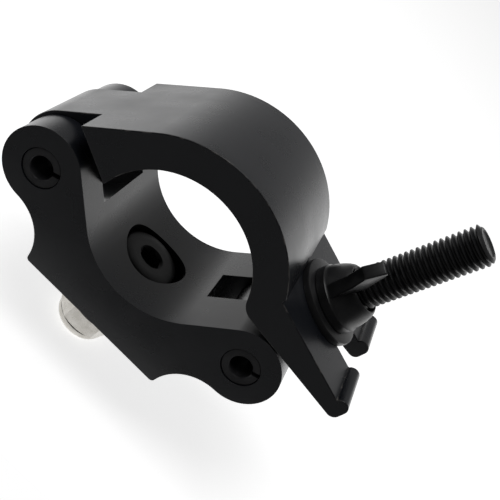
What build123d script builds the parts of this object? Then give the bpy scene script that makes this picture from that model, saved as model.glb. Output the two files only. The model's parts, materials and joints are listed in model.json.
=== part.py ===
from build123d import *
import os
from math import acos, asin, atan2, cos, degrees, hypot, radians, sin, sqrt, tan

# Half coupler: a hinged clamp for round stage tube, with an eye bolt and wing nut.
# Millimetres.  Origin: the axis of a tube seated in the base.  +Y runs along the
# tube, +Z points away from the flat mounting face, +X points to the swing bolt.

# ---------------------------------------------------------------- driving sizes
TUBE_R = 25.5            # radius of the largest tube, and of both bore surfaces
WIDTH = 50.0             # length of both halves along the tube
PIN_D = 12.0             # both pins
PIN_OUT = 13.1           # seat of the tube to the pins, across the clamp
PIN_Z = -14.0            # height of the pins
EAR_R = 12.0             # round ears of the base
SEAT_FLOOR = 14.5        # seat of the tube to the flat mounting face
FOOT_HALF = 25.5         # half width of the mounting face

TONGUE_W = 26.4          # hinge tongue of the cover
KNUCKLE_R = 13.0         # round end of the tongue
EYE_W = 14.4             # eye of the swing bolt
EYE_R = 12.0

WALL = 10.0              # cover's wall over the tube
SHOULDER_DROP = 16.6     # hinge axis to the cover's shoulder face
SHOULDER_SLOPE = 18.5    # slope of the shoulder face, degrees
NECK_INNER = 32.7        # where the bore ends at the neck, degrees above +X
NECK_R = 5.5             # rounding from the bore into the foot plate's underside
NOTCH_R = 0.35           # fillet between the washer's notch and the foot plate
PLATE_REACH = 24.2       # bolt pin to the outer face of the lip
PLATE_OVER_PIN = 21.3    # bolt pin to the plate's top when fully closed
PLATE_TOP_SLOPE = 7.0    # fall of the plate's top, degrees
PLATE_UNDER_SLOPE = 3.5  # rise of the plate's underside, degrees
LIP_R = 2.4              # rounding of the lip
LIP_RISE = 2.1           # lip above the plate

BOLT_D = 12.0            # M12 thread of the swing bolt and the mounting screw
BOLT_REACH = 71.3        # bolt pin to the tip of the swing bolt

WASHER_R = 13.3          # clamp washer
WASHER_T = 2.2

NUT_SKIRT_R = 10.3       # wing nut: round skirt, then a dome, then two wings
NUT_SKIRT_H = 3.3
NUT_TOP_R = 7.6
NUT_HUB_H = 10.4
WING_REACH = 15.2        # bolt axis to the outside of a wing
WING_H = 22.2            # height of the wings over the washer
WING_KNEE = 16.6         # height at which the wings reach their full width
WING_TIP = 2.6           # the sloping pad at a wing's end, measured across
WING_T = 4.0             # thickness of a wing
WING_FOOT = 0.66         # height at which the wings leave the skirt
DOME_BULGE = 0.675       # the dome's middle lies this far inside the skirt
WING_TURN = 53.5         # turn of the wings about the bolt, from across the clamp

SCREW_HEAD_R = 9.9       # head of the mounting screw, in its pocket
SCREW_HEAD_H = 6.5
HEAD_SEAT = 7.0          # mounting face to the floor of the head's pocket
SCREW_LENGTH = 30.0
SCREW_SOCKET = 7.0       # across the flats of the hexagon socket
SCREW_SOCKET_DEPTH = 4.0
SCREW_LEAN = 3.5         # the loose screw hangs a little askew, degrees
SCREW_SHIFT = 0.7        # and to one side of its hole

GRIP = 9.0               # free space between the base and the mounting washer
MOUNT_WASHER_R = 12.0
MOUNT_WASHER_T = 2.5
MOUNT_NUT_FLATS = 19.0
MOUNT_NUT_H = 12.0
COLLAR_H = 4.0           # round collar of the lock nut
COLLAR_R = 9.2
COLLAR_WALL = 1.6
RING_INSET = 0.7         # rolled edge of the collar over the nylon ring
RING_H = 2.6

# ---------------------------------------------------------------- clearances
SIDE_GAP = 0.3           # each side of the tongue and of the eye
KNUCKLE_ROOM = 4.6       # round end of the tongue to the floor of its slot
EYE_ROOM = 7.5           # eye of the bolt to the floor of its slot
HEAD_ROOM = 1.1          # head of the mounting screw to the wall of its pocket
SCREW_ROOM = 1.2         # mounting screw to the wall of its hole
WASHER_FIT = 0.5         # thread to the holes of both washers
STOP_GAP = 0.3           # foot plate over the base's ears when fully closed
WASHER_ROOM = 0.4        # washer to the wall of its notch
SEAT_GAP = 0.02          # lowest edge of the askew screw head over its pocket's floor
PIN_RUN = 0.06           # radial running clearance of the pins
THREAD_GAP = 0.05        # radial clearance of the plain thread cylinders
PIN_RECESS = 0.3         # pin ends below the side faces
WING_CLEAR = 0.5         # wings beside the thread

# ---------------------------------------------------------------- small details
PIN_WALL = 2.6           # spring pins are rolled from strip
PIN_SLIT = 1.5
PIN_CHAMFER = 0.8
BOLT_POINT = 1.2         # chamfer at thread ends
HEAD_CHAMFER = 0.6
FOOT_ROUND = 1.3         # rounding of the mounting face's two long edges
PAST = 1.0               # cutting tools run this far past a face
WING_SET = 1.0           # wings start and end this far inside and outside the skirt

# ---------------------------------------------------------------- worked-out places
PIN_X = TUBE_R + PIN_OUT
BASE_Z = -TUBE_R - SEAT_FLOOR
POCKET_FLOOR = BASE_Z + HEAD_SEAT
HINGE = Vector(-PIN_X, PIN_Z)          # points of the side view are (x, z)
SWING = Vector(PIN_X, PIN_Z)
PIN_R = PIN_D / 2
THREAD_R = BOLT_D / 2 - THREAD_GAP
WASHER_HOLE_R = BOLT_D / 2 + WASHER_FIT
BOLT_SLOT_W = EYE_W + 2 * SIDE_GAP
OUTER_R = TUBE_R + WALL


def polar(radius, angle):
    return Vector(radius * cos(radians(angle)), radius * sin(radians(angle)))


def turned(point, centre, angle):
    offset = point - centre
    return centre + polar(offset.length, degrees(atan2(offset.Y, offset.X)) + angle)


def line_meets_circle(start, direction, centre, radius):
    """Distances along a line at which it meets a circle, nearer one first."""
    middle = (centre - start).dot(direction)
    foot = start + direction * middle
    half = sqrt(radius**2 - (foot - centre).length ** 2)
    return middle - half, middle + half


# Cover, drawn as it stands on a seated tube: everything round is about the origin.
hinge_angle = degrees(atan2(PIN_Z, -PIN_X)) % 360
TOP_NORMAL = hinge_angle - degrees(acos((OUTER_R - KNUCKLE_R) / hypot(PIN_X, PIN_Z)))
top_start = polar(OUTER_R, TOP_NORMAL)
knuckle_start = HINGE + polar(KNUCKLE_R, TOP_NORMAL)

shoulder_line = polar(1, -SHOULDER_SLOPE)
shoulder_foot = HINGE + polar(SHOULDER_DROP, 90 - SHOULDER_SLOPE)
bore_distance = line_meets_circle(shoulder_foot, shoulder_line, Vector(0, 0), TUBE_R)[0]
bore_start = shoulder_foot + shoulder_line * bore_distance
top_gap = (shoulder_foot - top_start).dot(polar(1, TOP_NORMAL))
shoulder_top = shoulder_foot - shoulder_line * (top_gap / shoulder_line.dot(polar(1, TOP_NORMAL)))
bore_start_angle = degrees(atan2(bore_start.Y, bore_start.X)) % 360

to_bore = bore_start - HINGE
tongue_foot_angle = degrees(atan2(to_bore.Y, to_bore.X) - acos(KNUCKLE_R / to_bore.length))

neck_centre = polar(TUBE_R + NECK_R, NECK_INNER)
under_start = neck_centre + polar(NECK_R, 270 + PLATE_UNDER_SLOPE)

# Turn from "on a tube" to fully closed, where the foot plate rests on the base's ears.
under_normal = polar(1, 90 + PLATE_UNDER_SLOPE)
under_height = (under_start - HINGE).dot(under_normal)
CLOSE = PLATE_UNDER_SLOPE + degrees(asin((under_height - EAR_R - STOP_GAP) / (2 * PIN_X)))

# Swing bolt: square to the top of the foot plate of the closed cover.
BOLT_TILT = 90 - PLATE_TOP_SLOPE - CLOSE
NUT_FOOT = PLATE_OVER_PIN + WASHER_T
swing_in_cover = turned(SWING, HINGE, CLOSE)
plate_line = polar(1, -PLATE_TOP_SLOPE)
plate_normal = polar(1, 90 - PLATE_TOP_SLOPE)
plate_middle = swing_in_cover + plate_normal * PLATE_OVER_PIN
notch = plate_middle - plate_line * (WASHER_R + WASHER_ROOM)
notch_top = notch + plate_normal * line_meets_circle(notch, plate_normal, Vector(0, 0), OUTER_R)[1]
notch_angle = degrees(atan2(notch_top.Y, notch_top.X))

LIP_X = PIN_X + PLATE_REACH - LIP_R
under_at_lip = under_start.Y + (LIP_X - under_start.X) * tan(radians(PLATE_UNDER_SLOPE))
lip_low = Vector(LIP_X, under_at_lip + LIP_R / cos(radians(PLATE_UNDER_SLOPE)))
top_at_lip = notch.Y - (LIP_X - notch.X) * tan(radians(PLATE_TOP_SLOPE))
lip_high = Vector(LIP_X, top_at_lip + LIP_RISE - LIP_R)
plate_end = notch + plate_line * line_meets_circle(notch, plate_line, lip_high, LIP_R)[0]
lip_end_angle = degrees(atan2(plate_end.Y - lip_high.Y, plate_end.X - lip_high.X)) % 360

bolt_frame = Plane(
    origin=(PIN_X, 0, PIN_Z),
    x_dir=(sin(radians(BOLT_TILT)), 0, -cos(radians(BOLT_TILT))),
    z_dir=(cos(radians(BOLT_TILT)), 0, sin(radians(BOLT_TILT))),
)

# Base: the flanks are tangents of the tube's seat and of the ears.
swing_angle = degrees(atan2(PIN_Z, PIN_X))
FLANK_NORMAL = swing_angle - degrees(acos((TUBE_R + EAR_R) / hypot(PIN_X, PIN_Z)))
foot_inset = FOOT_HALF - PIN_X
foot_drop = PIN_Z - BASE_Z
FLARE_R = (foot_inset**2 + foot_drop**2 - EAR_R**2) / (2 * (EAR_R - foot_inset))
flare_centre = Vector(FOOT_HALF + FLARE_R, BASE_Z)
flare_angle = degrees(atan2(BASE_Z - PIN_Z, flare_centre.X - PIN_X))

# Mounting hardware, hanging on the screw below the base; heights are from its head's seat.
seat_rise = SCREW_HEAD_R * sin(radians(SCREW_LEAN)) + SEAT_GAP
screw_frame = Pos(-SCREW_SHIFT, 0, POCKET_FLOOR + seat_rise) * Rot(0, SCREW_LEAN, 0)
MOUNT_WASHER_TOP = BASE_Z - GRIP - POCKET_FLOOR - seat_rise
MOUNT_NUT_TOP = MOUNT_WASHER_TOP - MOUNT_WASHER_T
RING_R = COLLAR_R - COLLAR_WALL
RING_LOW = MOUNT_NUT_TOP - MOUNT_NUT_H + RING_INSET


# ---------------------------------------------------------------- building helpers
def side_view(edges, width):
    """A solid of one outline in the side view, centred on the middle plane."""
    return extrude(Plane.XZ * make_face(edges), amount=width / 2, both=True)


def cross_cylinder(point, radius, width):
    """A cylinder along Y about a point of the side view."""
    return Pos(point.X, 0, point.Y) * Rot(90, 0, 0) * Cylinder(radius, width)


def upright(radius, low, high):
    """A cylinder along Z about the origin, from one height to another."""
    return Pos(0, 0, (low + high) / 2) * Cylinder(radius, high - low)


def ring(outer, inner, low, high):
    return upright(outer, low, high) - upright(inner, low - PAST, high + PAST)


# ---------------------------------------------------------------- pieces
def make_base_half():
    seat_end = polar(TUBE_R, FLANK_NORMAL)
    ear_start = SWING + polar(EAR_R, FLANK_NORMAL + 180)
    foot_corner = Vector(FOOT_HALF, BASE_Z)
    half = side_view(
        [
            CenterArc((0, 0), TUBE_R, -90, FLANK_NORMAL + 90),
            Line(seat_end, ear_start),
            CenterArc(SWING, EAR_R, FLANK_NORMAL + 180, flare_angle - FLANK_NORMAL - 180),
            CenterArc(flare_centre, FLARE_R, flare_angle + 180, -flare_angle),
            Line(foot_corner, (0, BASE_Z)),
            Line((0, BASE_Z), (0, -TUBE_R)),
        ],
        WIDTH,
    )
    base = half + mirror(half, about=Plane.YZ)
    base = fillet(base.edges().filter_by(Axis.Y).group_by(Axis.Z)[0], FOOT_ROUND)
    base -= cross_cylinder(HINGE, KNUCKLE_R + KNUCKLE_ROOM, TONGUE_W + 2 * SIDE_GAP)
    base -= cross_cylinder(SWING, EYE_R + EYE_ROOM, BOLT_SLOT_W)
    base -= cross_cylinder(HINGE, PIN_R, WIDTH + PAST)
    base -= cross_cylinder(SWING, PIN_R, WIDTH + PAST)
    base -= upright(SCREW_HEAD_R + HEAD_ROOM, POCKET_FLOOR, 0)
    base -= upright(BOLT_D / 2 + SCREW_ROOM, BASE_Z - PAST, 0)
    return base


def make_cover_half():
    foot_plate = [
        CenterArc((0, 0), TUBE_R, bore_start_angle, NECK_INNER - bore_start_angle),
        CenterArc(neck_centre, NECK_R, NECK_INNER + 180, 90 + PLATE_UNDER_SLOPE - NECK_INNER),
        Line(under_start, lip_low + polar(LIP_R, 270 + PLATE_UNDER_SLOPE)),
        CenterArc(lip_low, LIP_R, 270 + PLATE_UNDER_SLOPE, 90 - PLATE_UNDER_SLOPE),
        Line(lip_low + polar(LIP_R, 0), lip_high + polar(LIP_R, 0)),
        CenterArc(lip_high, LIP_R, 0, lip_end_angle),
        Line(plate_end, notch),
        Line(notch, notch_top),
        CenterArc((0, 0), OUTER_R, notch_angle, TOP_NORMAL - notch_angle),
    ]
    body = side_view(foot_plate + [Line(top_start, shoulder_top), Line(shoulder_top, bore_start)], WIDTH)
    tongue_foot = HINGE + polar(KNUCKLE_R, tongue_foot_angle)
    tongue = side_view(
        foot_plate
        + [
            Line(top_start, knuckle_start),
            CenterArc(HINGE, KNUCKLE_R, TOP_NORMAL, tongue_foot_angle + 360 - TOP_NORMAL),
            Line(tongue_foot, bore_start),
        ],
        TONGUE_W,
    )
    cover = body + tongue
    notch_edge = cover.edges().filter_by(Axis.Y).sort_by_distance((notch.X, 0, notch.Y))[0]
    cover = fillet(notch_edge, NOTCH_R)
    cover -= cross_cylinder(HINGE, PIN_R + PIN_RUN, WIDTH)
    slot_frame = Plane(
        origin=(swing_in_cover.X, 0, swing_in_cover.Y),
        x_dir=(cos(radians(PLATE_TOP_SLOPE)), 0, -sin(radians(PLATE_TOP_SLOPE))),
        z_dir=(sin(radians(PLATE_TOP_SLOPE)), 0, cos(radians(PLATE_TOP_SLOPE))),
    )
    slot = upright(BOLT_SLOT_W / 2, 0, NUT_FOOT) + Pos(WIDTH / 2, 0, NUT_FOOT / 2) * Box(
        WIDTH, BOLT_SLOT_W, NUT_FOOT
    )
    cover -= slot_frame * slot
    return cover.rotate(Axis((-PIN_X, 0, PIN_Z), (0, 1, 0)), CLOSE)


def make_spring_pin(point):
    length = WIDTH - 2 * PIN_RECESS
    pin = Cylinder(PIN_R, length) - Cylinder(PIN_R - PIN_WALL, length)
    ends = pin.edges().filter_by(GeomType.CIRCLE).filter_by(lambda edge: edge.radius > PIN_R - PIN_WALL)
    pin = chamfer(ends, PIN_CHAMFER)
    pin -= Pos(PIN_R, 0, 0) * Box(PIN_D, PIN_SLIT, length)
    return Pos(point.X, 0, point.Y) * Rot(90, 0, 0) * pin


def make_swing_bolt():
    eye = Rot(90, 0, 0) * Cylinder(EYE_R, EYE_W)
    shank = chamfer(upright(THREAD_R, 0, BOLT_REACH).edges().group_by(Axis.Z)[-1], BOLT_POINT)
    hole = Rot(90, 0, 0) * Cylinder(PIN_R + PIN_RUN, EYE_W)
    return bolt_frame * (eye + shank - hole)


def make_clamp_washer():
    return bolt_frame * ring(WASHER_R, WASHER_HOLE_R, PLATE_OVER_PIN, NUT_FOOT)


def make_wing_nut():
    dome = ThreePointArc(
        (NUT_SKIRT_R, NUT_SKIRT_H),
        (NUT_SKIRT_R - DOME_BULGE, (NUT_SKIRT_H + NUT_HUB_H) / 2),
        (NUT_TOP_R, NUT_HUB_H),
    )
    half_hub = make_face(
        [
            Line((0, 0), (NUT_SKIRT_R, 0)),
            Line((NUT_SKIRT_R, 0), (NUT_SKIRT_R, NUT_SKIRT_H)),
            dome,
            Line((NUT_TOP_R, NUT_HUB_H), (0, NUT_HUB_H)),
            Line((0, NUT_HUB_H), (0, 0)),
        ]
    )
    hub = revolve(Plane.XZ * half_hub, Axis.Z)
    root = BOLT_D / 2 + WING_CLEAR
    wing = Polyline(
        (root, WING_FOOT),
        (NUT_SKIRT_R - WING_SET, WING_FOOT),
        (NUT_SKIRT_R + WING_SET, NUT_HUB_H),
        (WING_REACH, WING_KNEE),
        (WING_REACH - WING_TIP, WING_H),
        (root, NUT_HUB_H + WING_TIP),
        close=True,
    )
    wing = extrude(Plane.XZ * make_face(wing), amount=WING_T / 2, both=True)
    nut = hub + wing + Rot(0, 0, 180) * wing
    nut -= upright(BOLT_D / 2, -PAST, WING_H + PAST)
    return bolt_frame * Pos(0, 0, NUT_FOOT) * Rot(0, 0, WING_TURN) * nut


def make_mount_screw():
    screw = upright(SCREW_HEAD_R, 0, SCREW_HEAD_H)
    screw = chamfer(screw.edges().group_by(Axis.Z)[-1], HEAD_CHAMFER)
    screw += upright(THREAD_R, -SCREW_LENGTH, 0)
    screw = chamfer(screw.edges().group_by(Axis.Z)[0], BOLT_POINT)
    socket = RegularPolygon(SCREW_SOCKET / 2, 6, major_radius=False)
    return screw_frame * (screw - Pos(0, 0, SCREW_HEAD_H) * extrude(socket, amount=-SCREW_SOCKET_DEPTH))


def make_mount_washer():
    return screw_frame * ring(MOUNT_WASHER_R, WASHER_HOLE_R, MOUNT_NUT_TOP, MOUNT_WASHER_TOP)


def make_mount_nut():
    hexagon = RegularPolygon(MOUNT_NUT_FLATS / 2, 6, major_radius=False)
    body = Pos(0, 0, MOUNT_NUT_TOP) * extrude(hexagon, amount=COLLAR_H - MOUNT_NUT_H)
    nut = body + upright(COLLAR_R, MOUNT_NUT_TOP - MOUNT_NUT_H, MOUNT_NUT_TOP)
    nut -= upright(RING_R, RING_LOW, RING_LOW + RING_H)
    nut -= upright(BOLT_D / 2, MOUNT_NUT_TOP - MOUNT_NUT_H - PAST, MOUNT_NUT_TOP + PAST)
    return screw_frame * nut


def make_nylon_ring():
    return screw_frame * ring(RING_R, BOLT_D / 2, RING_LOW, RING_LOW + RING_H)


pieces = {
    "base_half": make_base_half(),
    "cover_half": make_cover_half(),
    "hinge_pin": make_spring_pin(HINGE),
    "bolt_pin": make_spring_pin(SWING),
    "swing_bolt": make_swing_bolt(),
    "clamp_washer": make_clamp_washer(),
    "wing_nut": make_wing_nut(),
    "mount_screw": make_mount_screw(),
    "mount_washer": make_mount_washer(),
    "mount_nut": make_mount_nut(),
    "nylon_ring": make_nylon_ring(),
}

os.makedirs("parts", exist_ok=True)
for name, piece in pieces.items():
    export_step(piece, f"parts/{name}.step")
print(f"closed {CLOSE:.2f} deg, bolt at {BOLT_TILT:.2f} deg, plate {PLATE_OVER_PIN:.2f} mm over the pin")
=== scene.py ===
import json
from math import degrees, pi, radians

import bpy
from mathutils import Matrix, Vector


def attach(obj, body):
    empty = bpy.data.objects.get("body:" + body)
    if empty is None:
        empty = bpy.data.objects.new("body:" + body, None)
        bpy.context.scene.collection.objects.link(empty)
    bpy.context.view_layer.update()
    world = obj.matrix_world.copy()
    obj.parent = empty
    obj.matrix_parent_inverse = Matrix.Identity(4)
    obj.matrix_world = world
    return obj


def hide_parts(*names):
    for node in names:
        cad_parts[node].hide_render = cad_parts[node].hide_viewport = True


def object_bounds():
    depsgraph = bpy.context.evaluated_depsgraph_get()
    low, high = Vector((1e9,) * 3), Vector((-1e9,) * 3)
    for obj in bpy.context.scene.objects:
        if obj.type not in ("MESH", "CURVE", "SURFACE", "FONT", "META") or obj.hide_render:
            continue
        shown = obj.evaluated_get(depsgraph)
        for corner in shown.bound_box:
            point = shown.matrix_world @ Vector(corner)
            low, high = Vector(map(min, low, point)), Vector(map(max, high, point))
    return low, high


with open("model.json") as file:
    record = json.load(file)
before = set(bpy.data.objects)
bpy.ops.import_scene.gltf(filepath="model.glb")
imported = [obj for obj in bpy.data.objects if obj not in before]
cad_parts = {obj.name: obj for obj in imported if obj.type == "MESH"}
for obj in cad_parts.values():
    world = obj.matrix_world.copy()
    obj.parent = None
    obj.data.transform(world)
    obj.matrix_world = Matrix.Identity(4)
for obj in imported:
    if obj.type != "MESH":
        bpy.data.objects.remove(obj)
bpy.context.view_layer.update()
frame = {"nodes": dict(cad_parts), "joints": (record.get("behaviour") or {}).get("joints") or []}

# %% [markdown]
# # A pipe clamp in black aluminium
# This file dresses a measured model of a stage clamp: a base, a hinged cover, a swing bolt
# with washer and wing nut, and a mounting screw with its own washer and lock nut.
# The measured model fixes every size and every moving body. Here each piece gets the
# shape, the edges and the finish that make it look machined. All lengths are in metres,
# so `MM` turns the millimetres of a workshop drawing into Blender's units.

MM = 0.001
joints = {joint["name"]: joint for joint in frame["joints"]}
swing_pin = Vector(joints["bolt_swing"]["pos_m"])
hinge_pin = Vector(joints["cover_hinge"]["pos_m"])
bolt_axis = Vector(joints["nut_travel"]["axis"]).normalized()
bolt_lean = degrees(bolt_axis.angle(Vector((0, 0, 1))))
screw_seat = Vector(joints["mount_nut_spin"]["pos_m"])
screw_axis = -Vector(joints["mount_nut_travel"]["axis"]).normalized()
screw_lean = degrees(screw_axis.angle(Vector((0, 0, 1))))
print("bolt leans", round(bolt_lean, 2), "and screw", round(screw_lean, 2), "degrees from upright")

# %% [markdown]
# ## Working like a hand at the bench
# Operators act on whatever is selected, so every step begins with nothing selected.
# A few helpers do the dull part: start from a primitive, pick faces or edges by where
# they are, add a modifier and apply it, and finally put the piece in its place so that
# its place is in the mesh and the object itself stays at the origin.

# %% Helpers for objects


def nothing_selected():
    if bpy.context.mode != "OBJECT":
        bpy.ops.object.mode_set(mode="OBJECT")
    bpy.ops.object.select_all(action="DESELECT")


def work_on(piece):
    nothing_selected()
    piece.select_set(True)
    bpy.context.view_layer.objects.active = piece


def named(name):
    piece = bpy.context.active_object
    piece.name = name
    piece.data.name = name
    return piece


def settle(piece, place=Matrix.Identity(4)):
    """Moves a piece to its place and leaves the object at the origin."""
    work_on(piece)
    piece.matrix_world = place @ piece.matrix_world
    bpy.ops.object.transform_apply(location=True, rotation=True, scale=True)
    return piece


def apply_modifier(piece, kind, **settings):
    work_on(piece)
    modifier = piece.modifiers.new(kind.title(), kind)
    for key, value in settings.items():
        setattr(modifier, key, value)
    bpy.ops.object.modifier_apply(modifier=modifier.name)


def cut_with(piece, tool, operation="DIFFERENCE"):
    """One solid shapes another; the tool is thrown away afterwards."""
    apply_modifier(piece, "BOOLEAN", object=tool, operation=operation, solver="EXACT")
    bpy.data.objects.remove(tool)


def break_edges(piece, width, segments=2, over=30.0):
    apply_modifier(
        piece, "BEVEL", width=width, segments=segments, limit_method="ANGLE",
        angle_limit=radians(over), harden_normals=False, miter_outer="MITER_ARC",
    )


def smooth(piece, over=30.0):
    work_on(piece)
    bpy.ops.object.shade_smooth_by_angle(angle=radians(over))


def report(piece):
    size = [round(value / MM, 1) for value in piece.dimensions]
    print(piece.name, "faces", len(piece.data.polygons), "size mm", size)


print("helpers ready")

# %% Helpers for edit mode


def pick_faces(piece, wanted):
    """Goes into edit mode with only the faces selected whose centre passes the test."""
    work_on(piece)
    bpy.ops.object.mode_set(mode="EDIT")
    bpy.ops.mesh.select_mode(type="FACE")
    bpy.ops.mesh.select_all(action="DESELECT")
    bpy.ops.object.mode_set(mode="OBJECT")
    for face in piece.data.polygons:
        face.select = bool(wanted(face.center, face.normal))
    bpy.ops.object.mode_set(mode="EDIT")


def pull(offset, size=(1, 1, 1)):
    """Extrudes the picked faces along a vector, then scales the new end about itself."""
    bpy.ops.mesh.extrude_region_move(TRANSFORM_OT_translate={"value": offset})
    bpy.ops.transform.resize(value=size)


def leave_edit():
    bpy.ops.object.mode_set(mode="OBJECT")


print("edit helpers ready")

# %% [markdown]
# ## The camera
# The clamp is looked at from the front and from above, and the camera itself is rolled
# far over, so that the clamp seems to lie on its hinge with the bolt pointing up right.
# The turn is given as three plain angles.

# %% Camera
camera_data = bpy.data.cameras.new("camera")
camera_data.lens = 59.1
camera_data.sensor_width = 36.0
camera_data.clip_start = 0.01
camera = bpy.data.objects.new("camera", camera_data)
bpy.context.scene.collection.objects.link(camera)
camera.location = (-3.4 * MM, -210.0 * MM, 118.1 * MM)
camera.rotation_euler = (radians(50.02), radians(-40.79), radians(22.82))
bpy.context.scene.camera = camera
print("camera at", [round(value / MM) for value in camera.location], "mm")

# %% [markdown]
# ## Finishes
# Nearly everything here is black, so the finishes are told apart by their gloss. The base
# and cover are extruded aluminium, sawn and anodised: a satin black with very faint
# drawing lines and softer patches. The steel pieces are black oxide, a little glossier.
# Each finish is built from noise in the piece's own coordinates, so it stays with the
# piece from every side.

# %% A helper that starts a finish


def new_finish(name, roughness, metallic=0.0):
    material = bpy.data.materials.new(name)
    material.use_nodes = True
    nodes = material.node_tree.nodes
    shader = nodes["Principled BSDF"]
    shader.inputs["Roughness"].default_value = roughness
    shader.inputs["Metallic"].default_value = metallic
    where = nodes.new("ShaderNodeTexCoord")
    return material, shader, where


def link(material, source, target):
    material.node_tree.links.new(source, target)


def noise(material, where, size, stretch=(1, 1, 1), detail=4.0):
    """Noise about `size` metres across, drawn out along an axis by a small stretch."""
    nodes = material.node_tree.nodes
    mapping = nodes.new("ShaderNodeMapping")
    mapping.inputs["Scale"].default_value = stretch
    texture = nodes.new("ShaderNodeTexNoise")
    texture.inputs["Scale"].default_value = 1.0 / size
    texture.inputs["Detail"].default_value = detail
    link(material, where.outputs["Object"], mapping.inputs["Vector"])
    link(material, mapping.outputs["Vector"], texture.inputs["Vector"])
    return texture.outputs["Fac"]


def spread(material, factor, low, high, start=0.3, end=0.7):
    """Turns a noise into values from low to high."""
    node = material.node_tree.nodes.new("ShaderNodeMapRange")
    node.inputs["From Min"].default_value = start
    node.inputs["From Max"].default_value = end
    node.inputs["To Min"].default_value = low
    node.inputs["To Max"].default_value = high
    link(material, factor, node.inputs["Value"])
    return node.outputs["Result"]


def two_colours(material, factor, first, second, start=0.35, end=0.65):
    ramp = material.node_tree.nodes.new("ShaderNodeValToRGB")
    ramp.color_ramp.elements[0].position = start
    ramp.color_ramp.elements[1].position = end
    ramp.color_ramp.elements[0].color = (*first, 1)
    ramp.color_ramp.elements[1].color = (*second, 1)
    link(material, factor, ramp.inputs["Fac"])
    return ramp.outputs["Color"]


def bump(material, shader, height, depth, strength=1.0):
    node = material.node_tree.nodes.new("ShaderNodeBump")
    node.inputs["Strength"].default_value = strength
    node.inputs["Distance"].default_value = depth
    link(material, height, node.inputs["Height"])
    link(material, node.outputs["Normal"], shader.inputs["Normal"])


print("finish helpers ready")

# %% Black anodised aluminium


def anodised(name, grain, dark, light, rough_low, rough_high):
    material, shader, where = new_finish(name, 0.4)
    shader.inputs["IOR"].default_value = 1.7
    patches = noise(material, where, 14 * MM)
    lines = noise(material, where, 1.2 * MM, stretch=grain)
    link(material, two_colours(material, patches, dark, light), shader.inputs["Base Color"])
    link(material, spread(material, patches, rough_low, rough_high), shader.inputs["Roughness"])
    bump(material, shader, lines, 0.012 * MM, 0.6)
    return material


drawn_along_tube = (1.0, 0.04, 1.0)
satin_black = anodised(
    "black_anodised", drawn_along_tube,
    (0.0075, 0.0088, 0.0125), (0.0098, 0.0112, 0.0152), 0.24, 0.33,
)
# Painted highlight: the bevel faces are coloured light grey in uneven patches, standing in for the
# thin line of light that the edges catch.
painted_edge_highlight, edge_highlight_shader, edge_highlight_where = new_finish("painted_edge_highlight", 0.35)
edge_highlight_patches = noise(painted_edge_highlight, edge_highlight_where, 3 * MM)
link(
    painted_edge_highlight,
    two_colours(painted_edge_highlight, edge_highlight_patches, (0.012, 0.012, 0.014), (0.16, 0.15, 0.14), 0.5, 0.8),
    edge_highlight_shader.inputs["Base Color"],
)
print("finishes:", satin_black.name, painted_edge_highlight.name)

# %% Steel finishes


def blackened(name, dark, light, rough):
    material, shader, where = new_finish(name, rough)
    patches = noise(material, where, 4 * MM)
    fine = noise(material, where, 0.35 * MM, detail=6.0)
    link(material, two_colours(material, patches, dark, light), shader.inputs["Base Color"])
    link(material, spread(material, fine, rough - 0.05, rough + 0.08), shader.inputs["Roughness"])
    bump(material, shader, fine, 0.01 * MM, 0.5)
    return material


black_steel = blackened("black_steel", (0.008, 0.008, 0.009), (0.016, 0.016, 0.017), 0.3)
cast_black = blackened("cast_black", (0.010, 0.010, 0.011), (0.020, 0.020, 0.021), 0.34)
pin_black = blackened("pin_black", (0.020, 0.020, 0.022), (0.042, 0.042, 0.045), 0.34)
screw_black = blackened("screw_black", (0.018, 0.018, 0.019), (0.030, 0.030, 0.031), 0.36)

zinc, zinc_shader, zinc_where = new_finish("zinc_plate", 0.25, metallic=1.0)
zinc_patches = noise(zinc, zinc_where, 3 * MM)
link(
    zinc, two_colours(zinc, zinc_patches, (0.50, 0.48, 0.44), (0.66, 0.64, 0.60)),
    zinc_shader.inputs["Base Color"],
)
link(zinc, spread(zinc, zinc_patches, 0.2, 0.34), zinc_shader.inputs["Roughness"])

nylon, nylon_shader, nylon_where = new_finish("nylon", 0.45)
link(
    nylon,
    two_colours(nylon, noise(nylon, nylon_where, 2 * MM), (0.60, 0.60, 0.55), (0.70, 0.70, 0.66)),
    nylon_shader.inputs["Base Color"],
)
print("steel finishes ready")

# %% [markdown]
# ## The two halves
# Base and cover are slices sawn from an extruded bar and then milled, so their side faces
# are flat and every edge is only slightly broken. That small bevel is what makes them
# look real: it catches a thin line of light. The measured solid is copied, its loose
# triangles are merged into whole faces, and a bevel runs round every sharp edge. The
# bevel's own faces get a second finish, a painted highlight in uneven light grey patches.

# %% Copies of the measured halves

def finished_half(node, name, body, edge):
    nothing_selected()
    solid = frame["nodes"][node]
    piece = bpy.data.objects.new(name, solid.data.copy())
    bpy.context.scene.collection.objects.link(piece)
    work_on(piece)
    bpy.ops.object.mode_set(mode="EDIT")
    bpy.ops.mesh.select_all(action="SELECT")
    bpy.ops.mesh.remove_doubles(threshold=0.001 * MM)
    bpy.ops.mesh.dissolve_limited(angle_limit=radians(0.5))
    leave_edit()
    piece.data.materials.clear()
    piece.data.materials.append(satin_black)
    piece.data.materials.append(painted_edge_highlight)
    apply_modifier(
        piece, "BEVEL", width=edge, segments=2, limit_method="ANGLE",
        angle_limit=radians(35), material=1, loop_slide=False,
    )
    smooth(piece, 40.0)
    apply_modifier(piece, "WEIGHTED_NORMAL", keep_sharp=True, weight=80)
    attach(piece, body)
    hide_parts(node)
    report(piece)
    return piece


finished_half("base_half", "base_body", "base", 0.3 * MM)
finished_half("cover_half", "cover_arm", "cover", 0.3 * MM)

# %% [markdown]
# ## Turned pieces
# Washers, pins, rings and screw heads are all turned on a lathe. In Blender that is one
# outline and one spin. The outline starts as a single point, is drawn by extruding that
# point from corner to corner, and closes on itself; the spin sweeps it round the axis.

# %% The lathe
FINE_STEPS = 96


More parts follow.
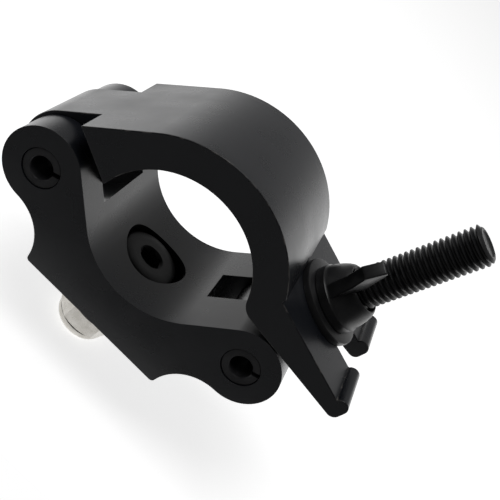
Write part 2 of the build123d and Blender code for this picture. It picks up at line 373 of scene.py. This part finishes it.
def draw_outline(points, closed=True):
    """An edge drawn through (radius, height) points, in millimetres."""
    nothing_selected()
    bpy.ops.mesh.primitive_plane_add(size=MM, location=(0, 0, 0))
    outline = bpy.context.active_object
    bpy.ops.object.mode_set(mode="EDIT")
    bpy.ops.mesh.select_mode(type="VERT")
    bpy.ops.mesh.select_all(action="SELECT")
    bpy.ops.mesh.merge(type="CENTER")
    spots = [Vector((radius * MM, 0, height * MM)) for radius, height in points]
    bpy.ops.transform.translate(value=spots[0])
    for here, there in zip(spots, spots[1:]):
        bpy.ops.mesh.extrude_region_move(TRANSFORM_OT_translate={"value": there - here})
    if closed:
        leave_edit()
        outline.data.vertices[0].select = True
        outline.data.vertices[-1].select = True
        bpy.ops.object.mode_set(mode="EDIT")
        bpy.ops.mesh.edge_face_add()
    leave_edit()
    return outline


def turn(name, points, steps=72):
    """A ring turned from one closed outline about the upright axis."""
    draw_outline(points)
    bpy.ops.object.mode_set(mode="EDIT")
    bpy.ops.mesh.select_all(action="SELECT")
    bpy.ops.mesh.spin(steps=steps, angle=2 * pi, center=(0, 0, 0), axis=(0, 0, 1))
    bpy.ops.mesh.select_all(action="SELECT")
    bpy.ops.mesh.remove_doubles(threshold=0.005 * MM)
    bpy.ops.mesh.normals_make_consistent(inside=False)
    leave_edit()
    return named(name)


def finish_piece(piece, body, finish, slot_name, *nodes):
    piece.data.materials.clear()
    piece.data.materials.append(finish)
    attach(piece, body)
    if nodes:
        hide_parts(*nodes)
    report(piece)
    return piece


on_bolt = Matrix.Translation(swing_pin) @ Matrix.Rotation(radians(bolt_lean), 4, "Y")
on_screw = Matrix.Translation(screw_seat) @ Matrix.Rotation(radians(screw_lean), 4, "Y")
print("lathe ready, bolt frame\n", on_bolt)

# %% [markdown]
# ## Screw threads
# Both threads are M12: the ridge climbs 1.75 mm in every turn. One pitch of the outline
# goes through a Screw modifier, which winds it up the shank as a true right-hand helix.
# The wound skin is cut flat at both ends, and a plain turned blank with a pointed end is
# then intersected with it, as the chamfer on a real bolt is turned before threading.

# %% The thread
PITCH = 1.75
CREST_R = 5.93
ROOT_R = 4.95


def wound_thread(name, low, high, steps=40):
    """A threaded skin from one height to another, in millimetres, cut flat at both ends."""
    start = low - PITCH
    draw_outline([
        (ROOT_R, start), (ROOT_R, start + 0.20), (CREST_R, start + 0.78),
        (CREST_R, start + 0.97), (ROOT_R, start + 1.55), (ROOT_R, start + PITCH),
    ], closed=False)
    wound = named(name)
    apply_modifier(
        wound, "SCREW", axis="Z", angle=2 * pi, screw_offset=PITCH * MM,
        iterations=int((high - low) / PITCH) + 3, steps=steps, render_steps=steps,
        use_merge_vertices=True, merge_threshold=0.002 * MM,
    )
    bpy.ops.object.mode_set(mode="EDIT")
    bpy.ops.mesh.select_all(action="SELECT")
    bpy.ops.mesh.remove_doubles(threshold=0.002 * MM)
    for height, side in ((low, -1), (high, 1)):
        bpy.ops.mesh.select_all(action="SELECT")
        bpy.ops.mesh.bisect(
            plane_co=(0, 0, height * MM), plane_no=(0, 0, side), use_fill=True, clear_outer=True,
        )
    bpy.ops.mesh.select_all(action="SELECT")
    bpy.ops.mesh.normals_make_consistent(inside=False)
    leave_edit()
    return wound


def turned_blank(low, high, radius, point, dish):
    """The plain rod that the thread is cut on: its end at `high` is chamfered and dished."""
    nothing_selected()
    bpy.ops.mesh.primitive_cylinder_add(
        vertices=96, radius=radius * MM, depth=(high - low) * MM,
        location=(0, 0, (low + high) / 2 * MM),
    )
    blank = settle(bpy.context.active_object)
    pick_faces(blank, lambda centre, normal: normal.z > 0.9)
    shrink = (radius - point) / radius
    pull((0, 0, 0), (shrink, shrink, 1))
    bpy.ops.mesh.select_mode(type="VERT")
    bpy.ops.mesh.select_all(action="DESELECT")
    leave_edit()
    for corner in blank.data.vertices:
        corner.select = corner.co.z > (high - 0.01) * MM and corner.co.xy.length > (radius - 0.01) * MM
    bpy.ops.object.mode_set(mode="EDIT")
    bpy.ops.transform.translate(value=(0, 0, -point * 0.8 * MM))
    leave_edit()
    pick_faces(blank, lambda centre, normal: centre.z > (high - 0.01) * MM and normal.z > 0.9)
    pull((0, 0, 0), (0.86, 0.86, 1))
    pull((0, 0, -dish * MM), (0.9, 0.9, 1))
    leave_edit()
    return blank


def threaded_rod(name, low, high):
    rod = wound_thread(name, low, high)
    cut_with(rod, turned_blank(low - 1, high, CREST_R + 0.02, 1.25, 0.35), "INTERSECT")
    smooth(rod, 42.0)
    return rod


BOLT_TIP = 71.25
THREAD_START = 9.0
shank = settle(threaded_rod("bolt_thread", THREAD_START, BOLT_TIP), on_bolt)
finish_piece(shank, "bolt", black_steel, "black_steel", "swing_bolt")

# %% The eye of the swing bolt


def cylinder(radius, low, high, vertices=96):
    nothing_selected()
    bpy.ops.mesh.primitive_cylinder_add(
        vertices=vertices, radius=radius * MM, depth=(high - low) * MM,
        location=(0, 0, (low + high) / 2 * MM),
    )
    return settle(bpy.context.active_object)


EYE_BORE = 6.06
EYE_R = 11.9
EYE_HALF = 7.2
EYE_EDGE = 0.7
eye = turn("bolt_eye", [
    (EYE_BORE, 0.4 - EYE_HALF), (6.5, -EYE_HALF), (EYE_R - EYE_EDGE, -EYE_HALF),
    (EYE_R, EYE_EDGE - EYE_HALF), (EYE_R, EYE_HALF - EYE_EDGE), (EYE_R - EYE_EDGE, EYE_HALF),
    (6.5, EYE_HALF), (EYE_BORE, EYE_HALF - 0.4),
], steps=FINE_STEPS)
settle(eye, Matrix.Translation(swing_pin) @ Matrix.Rotation(radians(90), 4, "X"))
smooth(eye, 30.0)
finish_piece(eye, "bolt", black_steel, "black_steel")

# %% [markdown]
# ## Spring pins
# A spring pin is rolled from strip, so it is a tube with a slit down one side. Its ends
# are tapered so that it can be driven into the ears.

# %% Spring pins
PIN_R = 5.97
PIN_BORE = 3.5
PIN_HALF = 24.7
SLIT_TURN = 20


def spring_pin(name, place, turn_of_slit, *nodes):
    pin = turn(name, [
        (PIN_BORE, 0.2 - PIN_HALF), (PIN_BORE + 0.2, -PIN_HALF), (PIN_R - 0.32, -PIN_HALF),
        (PIN_R, 0.35 - PIN_HALF), (PIN_R, PIN_HALF - 0.35), (PIN_R - 0.32, PIN_HALF),
        (PIN_BORE + 0.2, PIN_HALF), (PIN_BORE, PIN_HALF - 0.2),
    ], steps=FINE_STEPS)
    nothing_selected()
    bpy.ops.mesh.primitive_cube_add(size=MM, location=(4.8 * MM, 0, 0), scale=(4, 1.4, 60))
    slit = settle(bpy.context.active_object)
    settle(slit, Matrix.Rotation(radians(turn_of_slit), 4, "Z"))
    cut_with(pin, slit)
    settle(pin, Matrix.Translation(place) @ Matrix.Rotation(radians(90), 4, "X"))
    smooth(pin, 30.0)
    finish_piece(pin, "base", pin_black, "black_steel", *nodes)


spring_pin("hinge_spring_pin", hinge_pin, SLIT_TURN, "hinge_pin")
spring_pin("bolt_spring_pin", swing_pin, SLIT_TURN, "bolt_pin")

# %% [markdown]
# ## Washers
# Stamped washers have one edge rounded by the punch and the other left crisp.

# %% Washers


def washer(name, radius, hole, low, high):
    return turn(name, [
        (hole, low + 0.2), (hole + 0.2, low), (radius - 0.15, low), (radius, low + 0.15),
        (radius, high - 0.45), (radius - 0.13, high - 0.13), (radius - 0.45, high),
        (hole + 0.3, high), (hole, high - 0.3),
    ], steps=120)


washer_hole = 6.5
washer_low = 21.3
nut_foot = washer_low + 2.2
bolt_washer = settle(washer("bolt_washer", 13.3, washer_hole, washer_low, nut_foot), on_bolt)
smooth(bolt_washer, 35.0)
finish_piece(bolt_washer, "bolt_washer", cast_black, "black_steel", "clamp_washer")
plate_washer_top = -16.63
plate_washer = settle(
    washer("plate_washer", 12.0, washer_hole, plate_washer_top - 2.49, plate_washer_top), on_screw,
)
smooth(plate_washer, 35.0)
finish_piece(plate_washer, "screw_washer", black_steel, "black_steel", "mount_washer")

# %% [markdown]
# ## The wing nut
# The nut is a forging: a round skirt under a domed hub, with two wings that lean out and
# end in flat sloping pads. The hub is turned. Each wing starts as a small block at the hub and
# is pulled up and out, section by section, then its edges are rounded.

# %% Wing nut
WING_T = 4.3
WING_TURN = 53.5
hub = turn("wing_nut_body", [
    (6.05, 0.5), (6.6, 0.0), (9.9, 0.0), (10.3, 0.35), (10.3, 2.9), (9.95, 3.25), (9.75, 4.2),
    (9.45, 5.8), (9.0, 7.4), (8.4, 8.9), (7.8, 9.9), (7.2, 10.4), (6.9, 10.4), (6.05, 9.5),
], steps=FINE_STEPS)


def wing(sections, thickness):
    """Sections are (inner, outer, height): the wing's edges at each height."""
    inner, outer, height = sections[0]
    nothing_selected()
    bpy.ops.mesh.primitive_cube_add(size=MM, location=((inner + outer) / 2 * MM, 0, height * MM))
    block = bpy.context.active_object
    block.scale = (outer - inner, thickness, 1)
    settle(block)
    pick_faces(block, lambda centre, normal: normal.z > 0.9)
    for (a, b, low), (c, d, high) in zip(sections, sections[1:]):
        shift = ((c + d) - (a + b)) / 2
        pull((shift * MM, 0, (high - low) * MM), ((d - c) / (b - a), 0.98, 1))
    leave_edit()
    break_edges(block, 0.45 * MM, segments=3, over=40)
    return block


wing_sections = [
    (6.2, 9.6, 2.5), (6.2, 10.9, 7.0), (6.2, 11.4, 10.3), (6.3, 13.0, 13.0),
    (8.0, 15.1, 16.5), (11.3, 12.7, 22.0),
]
for half_turn in (0, 180):
    blade = wing(wing_sections, WING_T)
    settle(blade, Matrix.Rotation(radians(half_turn), 4, "Z"))
    cut_with(hub, blade, "UNION")
cut_with(hub, cylinder(6.03, -1, 30))
on_washer = on_bolt @ Matrix.Translation((0, 0, nut_foot * MM))
settle(hub, on_washer @ Matrix.Rotation(radians(WING_TURN), 4, "Z"))
smooth(hub, 35.0)
finish_piece(hub, "nut", cast_black, "black_steel", "wing_nut")

# %% [markdown]
# ## The mounting screw
# A socket head screw drops into a pocket in the saddle. Its head is turned, then the
# hexagon socket is pressed into it.

# %% Mounting screw
head = turn("screw_head", [
    (0.01, 0.02), (9.7, 0.02), (9.88, 0.2), (9.88, 5.7), (9.62, 6.25), (9.1, 6.48),
    (6.6, 6.49), (0.01, 6.49),
], steps=FINE_STEPS)
SOCKET_TURN = 12
socket = cylinder(4.04, 2.5, 8.0, vertices=6)
settle(socket, Matrix.Rotation(radians(SOCKET_TURN), 4, "Z"))
cut_with(head, socket)
cut_with(head, turn("socket_mouth", [(0.01, 5.7), (3.6, 5.7), (4.6, 6.7), (0.01, 6.7)], steps=48))
settle(head, on_screw)
smooth(head, 30.0)
finish_piece(head, "base", screw_black, "black_steel", "mount_screw")
rod = threaded_rod("screw_thread", 0.2, 29.95)
settle(rod, Matrix.Rotation(radians(180), 4, "X"))
settle(rod, on_screw)
finish_piece(rod, "base", black_steel, "black_steel")

# %% [markdown]
# ## The lock nut
# The silver nut under the base is a lock nut: a hexagon with turned corners, and a round
# collar rolled over a nylon ring. The hexagon is a six-sided cylinder intersected with a
# turned blank, which leaves the curved chamfers of a real nut.

# %% Lock nut
nut_top = plate_washer_top - 2.5
HEXAGON_TURN = 38
hexagon = cylinder(10.96, nut_top - 9.0, nut_top, vertices=6)
hexagon.name = "lock_nut"
hexagon.data.name = "lock_nut"
settle(hexagon, Matrix.Rotation(radians(HEXAGON_TURN), 4, "Z"))
corners = turn("corners", [
    (0.01, nut_top - 8.4), (9.2, nut_top - 8.4), (11.2, nut_top - 7.0), (11.2, nut_top - 0.9),
    (9.4, nut_top + 0.1), (0.01, nut_top + 0.1),
], steps=120)
cut_with(hexagon, corners, "INTERSECT")
collar = turn("collar", [
    (6.5, nut_top - 11.55), (6.7, nut_top - 11.85), (7.3, nut_top - 11.98), (7.95, nut_top - 11.8),
    (8.5, nut_top - 11.35), (8.9, nut_top - 10.6), (9.12, nut_top - 9.7), (9.0, nut_top - 9.1),
    (8.5, nut_top - 8.6), (8.3, nut_top - 8.0), (6.5, nut_top - 8.0),
], steps=FINE_STEPS)
cut_with(hexagon, collar, "UNION")
cut_with(hexagon, cylinder(6.05, nut_top - 13, nut_top + 1))
settle(hexagon, on_screw)
smooth(hexagon, 30.0)
finish_piece(hexagon, "screw_nut", zinc, "zinc_steel", "mount_nut")
insert = turn("lock_ring", [
    (6.02, nut_top - 11.0), (6.2, nut_top - 11.3), (6.45, nut_top - 11.3), (6.45, nut_top - 8.8),
    (6.02, nut_top - 8.8),
], steps=72)
settle(insert, on_screw)
smooth(insert, 30.0)
finish_piece(insert, "screw_nut", nylon, "nylon", "nylon_ring")

# %% [markdown]
# ## Floor and light
# The clamp stands on a pale sheet that runs far back. The room is bright behind the clamp
# and dim in front of it: black metal shows its shape only by what it mirrors, so the
# faces towards the viewer stay dark while the round tops pick up the pale background.
# The sheet itself shines only for the eye and for mirrored rays, a little less in front, so
# it reads as white without adding light to the clamp, and it keeps the clamp's shadow.
# One soft panel overhead gives the plain light.

# %% Floor
nothing_selected()
low_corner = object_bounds()[0]
FLOOR_SIZE = 6.0
FLOOR_FRONT = -0.06
floor_middle = FLOOR_FRONT + FLOOR_SIZE / 2
bpy.ops.mesh.primitive_plane_add(size=FLOOR_SIZE, location=(0, floor_middle, low_corner.z - 0.2 * MM))
floor = settle(named("floor"))
paper, paper_shader, paper_where = new_finish("paper", 0.9)
paper_shader.inputs["Base Color"].default_value = (0.9, 0.9, 0.9, 1)
paper_shader.inputs["Specular IOR Level"].default_value = 0.0
paper_shader.inputs["Emission Color"].default_value = (1, 1, 1, 1)
paper_rays = paper.node_tree.nodes.new("ShaderNodeLightPath")
paper_split = paper.node_tree.nodes.new("ShaderNodeSeparateXYZ")
link(paper, paper_where.outputs["Object"], paper_split.inputs["Vector"])
SEEN_GLOW = 0.75
MIRRORED_GLOW = 0.85
mirrored = spread(paper, paper_split.outputs["Y"], 0.0, MIRRORED_GLOW, start=-0.05, end=-0.01)
straight = spread(paper, paper_rays.outputs["Is Camera Ray"], 0.0, SEEN_GLOW, start=0.0, end=1.0)
mirrored_glow = paper.node_tree.nodes.new("ShaderNodeMath")
mirrored_glow.operation = "MULTIPLY_ADD"
link(paper, mirrored, mirrored_glow.inputs[0])
link(paper, paper_rays.outputs["Is Glossy Ray"], mirrored_glow.inputs[1])
link(paper, straight, mirrored_glow.inputs[2])
link(paper, mirrored_glow.outputs["Value"], paper_shader.inputs["Emission Strength"])
floor.data.materials.append(paper)
print("floor at", round(low_corner.z / MM, 1), "mm")

# %% Room light
room = bpy.data.worlds.new("room")
bpy.context.scene.world = room
room.use_nodes = True
room_nodes = room.node_tree.nodes
background = room_nodes["Background"]
direction = room_nodes.new("ShaderNodeTexCoord")
split = room_nodes.new("ShaderNodeSeparateXYZ")
link(room, direction.outputs["Generated"], split.inputs["Vector"])
FRONT_LIGHT = 0.11
OVERHEAD_LIGHT = 0.2
front_to_back = spread(room, split.outputs["Y"], FRONT_LIGHT, 1.0, start=-0.35, end=0.55)
up = spread(room, split.outputs["Z"], 1.0, OVERHEAD_LIGHT, start=0.0, end=0.3)
level = room_nodes.new("ShaderNodeMath")
level.operation = "MULTIPLY"
link(room, front_to_back, level.inputs[0])
link(room, up, level.inputs[1])
rays = room_nodes.new("ShaderNodeLightPath")
seen = room_nodes.new("ShaderNodeMath")
seen.operation = "MAXIMUM"
link(room, level.outputs["Value"], seen.inputs[0])
link(room, rays.outputs["Is Camera Ray"], seen.inputs[1])
link(room, seen.outputs["Value"], background.inputs["Strength"])
background.inputs["Color"].default_value = (1, 1, 1, 1)


def panel(name, direction, distance, size, power):
    """A soft square light that faces the middle of the clamp."""
    data = bpy.data.lights.new(name, "AREA")
    data.shape = "RECTANGLE"
    data.size, data.size_y = size
    data.energy = power
    lamp = bpy.data.objects.new(name, data)
    bpy.context.scene.collection.objects.link(lamp)
    away = Vector(direction).normalized()
    lamp.location = away * distance
    lamp.rotation_euler = away.to_track_quat("Z", "Y").to_euler()
    print(name, "at", [round(value, 2) for value in lamp.location], "m")


panel("top_panel", (-0.2, -0.1, 1.0), 1.1, (0.8, 0.8), 5.0)
bpy.context.scene.view_settings.view_transform = "Standard"
